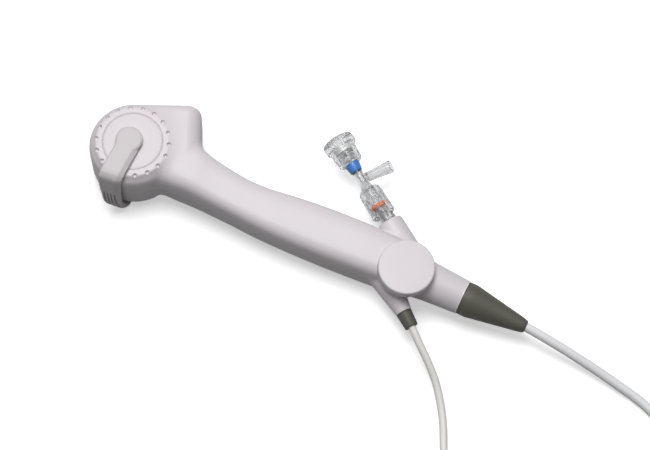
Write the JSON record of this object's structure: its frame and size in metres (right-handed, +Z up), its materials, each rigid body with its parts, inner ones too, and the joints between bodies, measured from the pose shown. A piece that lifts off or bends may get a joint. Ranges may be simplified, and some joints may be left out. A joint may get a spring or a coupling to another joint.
{
  "type": "flexible endoscope",
  "caption": "Flexible endoscope lying on its side: grip with thumb lever and dial, clear side adapter, insertion tube with a bending tip, and a cable with its plug.",
  "frame": {"origin": "on the table, under the axis of the thumb lever where the rear cap stands on it", "axes": "+Z up from the table; the grip runs from the origin along +X turned 26 degrees towards -Y"},
  "size_m": [0.3127, 0.2219, 0.035],
  "materials": {
    "shell_plastic": "satin moulded, lilac white",
    "lever_plastic": "fine matt, warm light grey",
    "relief_rubber": "matt, dark olive grey",
    "clear_plastic": "clear, polished",
    "blue_plastic": "glossy blue",
    "orange_rubber": "smooth orange",
    "tube_sheath": "satin, pale cool grey",
    "cable_sheath": "satin, warm off white",
    "steel": "fine turned",
    "bush_plastic": "natural white, smooth",
    "black_rubber": "matt black",
    "board": "green board",
    "tip_plastic": "fine satin",
    "lens_glass": "polished",
    "contact_brass": "plated"
  },
  "bodies": {
    "handle": {"front_shell": "shell_plastic", "rear_shell": "shell_plastic", "dial_cover": "shell_plastic", "rear_cap": "shell_plastic", "front_disc": "shell_plastic", "rear_disc": "shell_plastic", "tail_cone": "relief_rubber", "cable_relief": "relief_rubber", "plug_boot": "relief_rubber", "luer_port": "clear_plastic", "adapter_body": "clear_plastic", "blue_collar": "blue_plastic", "seal_ring": "orange_rubber", "insertion_tube": "tube_sheath", "insertion_coil": "tube_sheath", "insertion_tube_end": "tube_sheath", "cable": "cable_sheath", "cable_coil": "cable_sheath", "cable_end": "cable_sheath", "plug_body": "cable_sheath", "upper_coil_pipe": "steel", "lower_coil_pipe": "steel", "shell_screw_1": "steel", "shell_screw_2": "steel", "shell_screw_3": "steel", "shell_screw_4": "steel", "cable_clamp": "steel", "front_bush": "bush_plastic", "rear_bush": "bush_plastic", "wire_guide": "bush_plastic", "board_connector": "bush_plastic", "tail_collar": "bush_plastic", "channel_branch": "bush_plastic", "working_channel": "bush_plastic", "inner_seal": "bush_plastic", "friction_ring": "black_rubber", "board_lead": "black_rubber", "tie_strap_1": "black_rubber", "tie_strap_2": "black_rubber", "camera_board": "board", "plug_insert": "contact_brass"},
    "lever": {"thumb_lever": "lever_plastic", "lever_shaft": "steel", "wire_drum": "bush_plastic", "retaining_clip": "steel"},
    "upper_wire": {"upper_wire": "steel"},
    "lower_wire": {"lower_wire": "steel"},
    "luer_nut": {"luer_nut": "clear_plastic"},
    "seal_cap": {"seal_cap": "clear_plastic"},
    "latch_sleeve": {"latch_sleeve": "steel"},
    "link_1": {"bending_link_1": "tube_sheath"},
    "link_2": {"bending_link_2": "tube_sheath"},
    "link_3": {"bending_link_3": "tube_sheath"},
    "link_4": {"bending_link_4": "tube_sheath"},
    "link_5": {"bending_link_5": "tube_sheath"},
    "link_6": {"bending_link_6": "tube_sheath"},
    "link_7": {"bending_link_7": "tube_sheath"},
    "link_8": {"bending_link_8": "tube_sheath", "distal_tip": "tip_plastic", "tip_lens": "lens_glass"}
  },
  "joints": [
    {"name": "lever_turn", "type": "hinge", "parent": "handle", "child": "lever", "pos_m": [0, 0, 0.0165], "axis": [0.0254, -0.0124, 0.9996], "range_deg": [-36, 36]},
    {"name": "upper_wire_pull", "type": "slide", "parent": "handle", "child": "upper_wire", "axis": [0.8579, -0.513, -0.0281], "range_m": [-0.00412, 0.00412]},
    {"name": "lower_wire_pull", "type": "slide", "parent": "handle", "child": "lower_wire", "axis": [0.9325, -0.3602, -0.0281], "range_m": [-0.00412, 0.00412]},
    {"name": "luer_nut_turn", "type": "hinge", "parent": "handle", "child": "luer_nut", "pos_m": [0.11356, -0.03169, 0.01322], "axis": [-0.5102, 0.8597, 0.0236], "range_deg": [0, 220]},
    {"name": "seal_cap_turn", "type": "hinge", "parent": "handle", "child": "seal_cap", "pos_m": [0.11356, -0.03169, 0.01322], "axis": [-0.5102, 0.8597, 0.0236], "range_deg": [0, 330]},
    {"name": "latch_sleeve_slide", "type": "slide", "parent": "handle", "child": "latch_sleeve", "axis": [-1, 0, 0], "range_m": [0, 0.0025], "stiffness_N_per_m": 300, "springref_m": -0.001},
    {"name": "bend_1", "type": "hinge", "parent": "handle", "child": "link_1", "pos_m": [0.2909, -0.0648, 0.0021], "axis": [0, 0, 1], "range_deg": [-26.25, 26.25]},
    {"name": "bend_2", "type": "hinge", "parent": "link_1", "child": "link_2", "pos_m": [0.2909, -0.0592, 0.0021], "axis": [0, 0, 1], "range_deg": [-26.25, 26.25]},
    {"name": "bend_3", "type": "hinge", "parent": "link_2", "child": "link_3", "pos_m": [0.2909, -0.0536, 0.0021], "axis": [0, 0, 1], "range_deg": [-26.25, 26.25]},
    {"name": "bend_4", "type": "hinge", "parent": "link_3", "child": "link_4", "pos_m": [0.2909, -0.048, 0.0021], "axis": [0, 0, 1], "range_deg": [-26.25, 26.25]},
    {"name": "bend_5", "type": "hinge", "parent": "link_4", "child": "link_5", "pos_m": [0.2909, -0.0424, 0.0021], "axis": [0, 0, 1], "range_deg": [-26.25, 26.25]},
    {"name": "bend_6", "type": "hinge", "parent": "link_5", "child": "link_6", "pos_m": [0.2909, -0.0368, 0.0021], "axis": [0, 0, 1], "range_deg": [-26.25, 26.25]},
    {"name": "bend_7", "type": "hinge", "parent": "link_6", "child": "link_7", "pos_m": [0.2909, -0.0312, 0.0021], "axis": [0, 0, 1], "range_deg": [-26.25, 26.25]},
    {"name": "bend_8", "type": "hinge", "parent": "link_7", "child": "link_8", "pos_m": [0.2909, -0.0256, 0.0021], "axis": [0, 0, 1], "range_deg": [-26.25, 26.25]}
  ],
  "couplings": [
    {"joint": "upper_wire_pull", "follows": "lever_turn", "m_per_rad": -0.00655},
    {"joint": "lower_wire_pull", "follows": "lever_turn", "m_per_rad": 0.00655},
    {"joint": "bend_1", "follows": "lever_turn", "ratio": 0.729},
    {"joint": "bend_2", "follows": "lever_turn", "ratio": 0.729},
    {"joint": "bend_3", "follows": "lever_turn", "ratio": 0.729},
    {"joint": "bend_4", "follows": "lever_turn", "ratio": 0.729},
    {"joint": "bend_5", "follows": "lever_turn", "ratio": 0.729},
    {"joint": "bend_6", "follows": "lever_turn", "ratio": 0.729},
    {"joint": "bend_7", "follows": "lever_turn", "ratio": 0.729},
    {"joint": "bend_8", "follows": "lever_turn", "ratio": 0.729}
  ]
}
